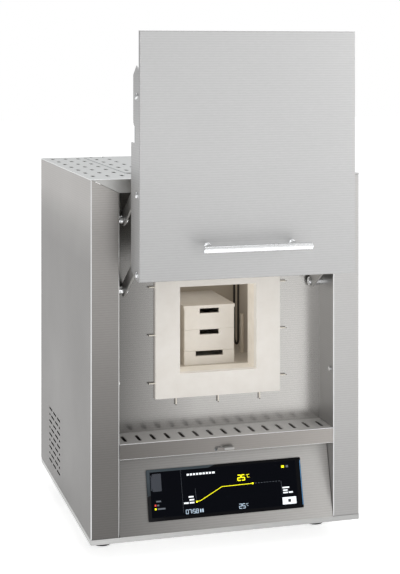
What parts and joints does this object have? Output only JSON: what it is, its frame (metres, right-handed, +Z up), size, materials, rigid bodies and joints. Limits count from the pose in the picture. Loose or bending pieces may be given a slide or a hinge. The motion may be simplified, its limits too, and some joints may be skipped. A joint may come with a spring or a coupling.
{
  "type": "sintering furnace",
  "caption": "Bench-top sintering furnace with a lift door on parallel arms, fibre-lined chamber, hanging heating loops, stacked boxes, slotted shelf and sloping display.",
  "frame": {"origin": "centre of the footprint of the whole part at rest with the door open, at the height the feet stand on", "axes": "+Z up, the front with the door and display faces -Y, and +X is to the right for a person facing the front"},
  "size_m": [0.385, 0.53, 0.7146],
  "materials": {
    "stainless": "brushed",
    "stainless_door": "brushed",
    "bright_steel": "satin",
    "dark_steel": "matte",
    "zinc_steel": "satin",
    "fibre": "matte",
    "ceramic_white": "matte",
    "tray_ceramic": "matte",
    "element_grey": "matte",
    "black_glass": "gloss",
    "black_plastic": "matte",
    "grey_plastic": "satin",
    "rubber": "matte",
    "aluminium": "satin",
    "copper": "satin"
  },
  "bodies": {
    "cabinet": {"base_pan": "stainless", "foot_pads": "rubber", "foot_studs": "bright_steel", "left_side_panel": "stainless", "right_side_panel": "stainless", "top_cover": "stainless", "element_cover": "stainless", "back_panel": "stainless", "fan_guard": "bright_steel", "front_panel": "stainless", "vent_shelf": "stainless", "slider_rails": "zinc_steel", "control_fascia": "stainless", "display_frame": "black_plastic", "display_glass": "black_glass", "controller_box": "black_plastic", "flap_hinge": "grey_plastic", "insulation_collar": "fibre", "front_board": "fibre", "left_board": "fibre", "right_board": "fibre", "floor_board": "fibre", "roof_board": "fibre", "back_board": "fibre", "collar_pins": "ceramic_white", "heating_elements": "element_grey", "element_holders": "ceramic_white", "bus_bars": "aluminium", "air_inlet_tube": "ceramic_white", "thermocouple": "ceramic_white", "deck_plate": "zinc_steel", "sinter_box_low": "tray_ceramic", "sinter_box_middle": "tray_ceramic", "sinter_box_high": "tray_ceramic", "sinter_box_lid": "tray_ceramic", "pivot_shafts": "bright_steel", "door_switch": "black_plastic", "transformer": "dark_steel", "transformer_coil": "copper", "power_controller": "aluminium", "fan_frame": "black_plastic", "mains_socket": "black_plastic", "switch_housing": "black_plastic", "panel_screws": "bright_steel"},
    "lower_arms": {"lower_arm_left": "stainless", "lower_arm_right": "stainless"},
    "upper_arms": {"upper_arm_left": "stainless", "upper_arm_right": "stainless"},
    "door": {"door_skin": "stainless_door", "door_brackets": "zinc_steel", "door_plug": "fibre", "plug_frame": "stainless", "handle_bar": "bright_steel", "handle_posts": "bright_steel", "flange_bolts": "bright_steel", "door_pins": "bright_steel"},
    "slider": {"air_slider": "bright_steel"},
    "flap": {"usb_flap": "grey_plastic"},
    "fan": {"fan_rotor": "black_plastic"},
    "rocker": {"power_rocker": "grey_plastic"}
  },
  "joints": [
    {"name": "door_lift", "type": "hinge", "parent": "cabinet", "child": "lower_arms", "pos_m": [0, -0.08848, 0.361], "axis": [1, 0, 0], "range_deg": [0, 110.6]},
    {"name": "upper_arm_swing", "type": "hinge", "parent": "cabinet", "child": "upper_arms", "pos_m": [0, -0.08848, 0.458], "axis": [1, 0, 0], "range_deg": [0, 110.6]},
    {"name": "door_level", "type": "hinge", "parent": "lower_arms", "child": "door", "pos_m": [0, -0.21236, 0.43901], "axis": [1, 0, 0], "range_deg": [-110.6, 0]},
    {"name": "air_slide", "type": "slide", "parent": "cabinet", "child": "slider", "axis": [-1, 0, 0], "range_m": [0, 0.012]},
    {"name": "flap_swing", "type": "hinge", "parent": "cabinet", "child": "flap", "pos_m": [-0.1065, -0.11946, 0.10224], "axis": [0, -0.2487, -0.9686], "range_deg": [0, 100]},
    {"name": "fan_spin", "type": "hinge", "parent": "cabinet", "child": "fan", "pos_m": [-0.11, 0.25102, 0.096], "axis": [0, 1, 0], "continuous": true},
    {"name": "rocker_tilt", "type": "hinge", "parent": "cabinet", "child": "rocker", "pos_m": [0.118, 0.26202, 0.096], "axis": [1, 0, 0], "range_deg": [-10, 10]}
  ],
  "couplings": [
    {"joint": "upper_arm_swing", "follows": "door_lift", "ratio": 1},
    {"joint": "door_level", "follows": "door_lift", "ratio": -1}
  ]
}
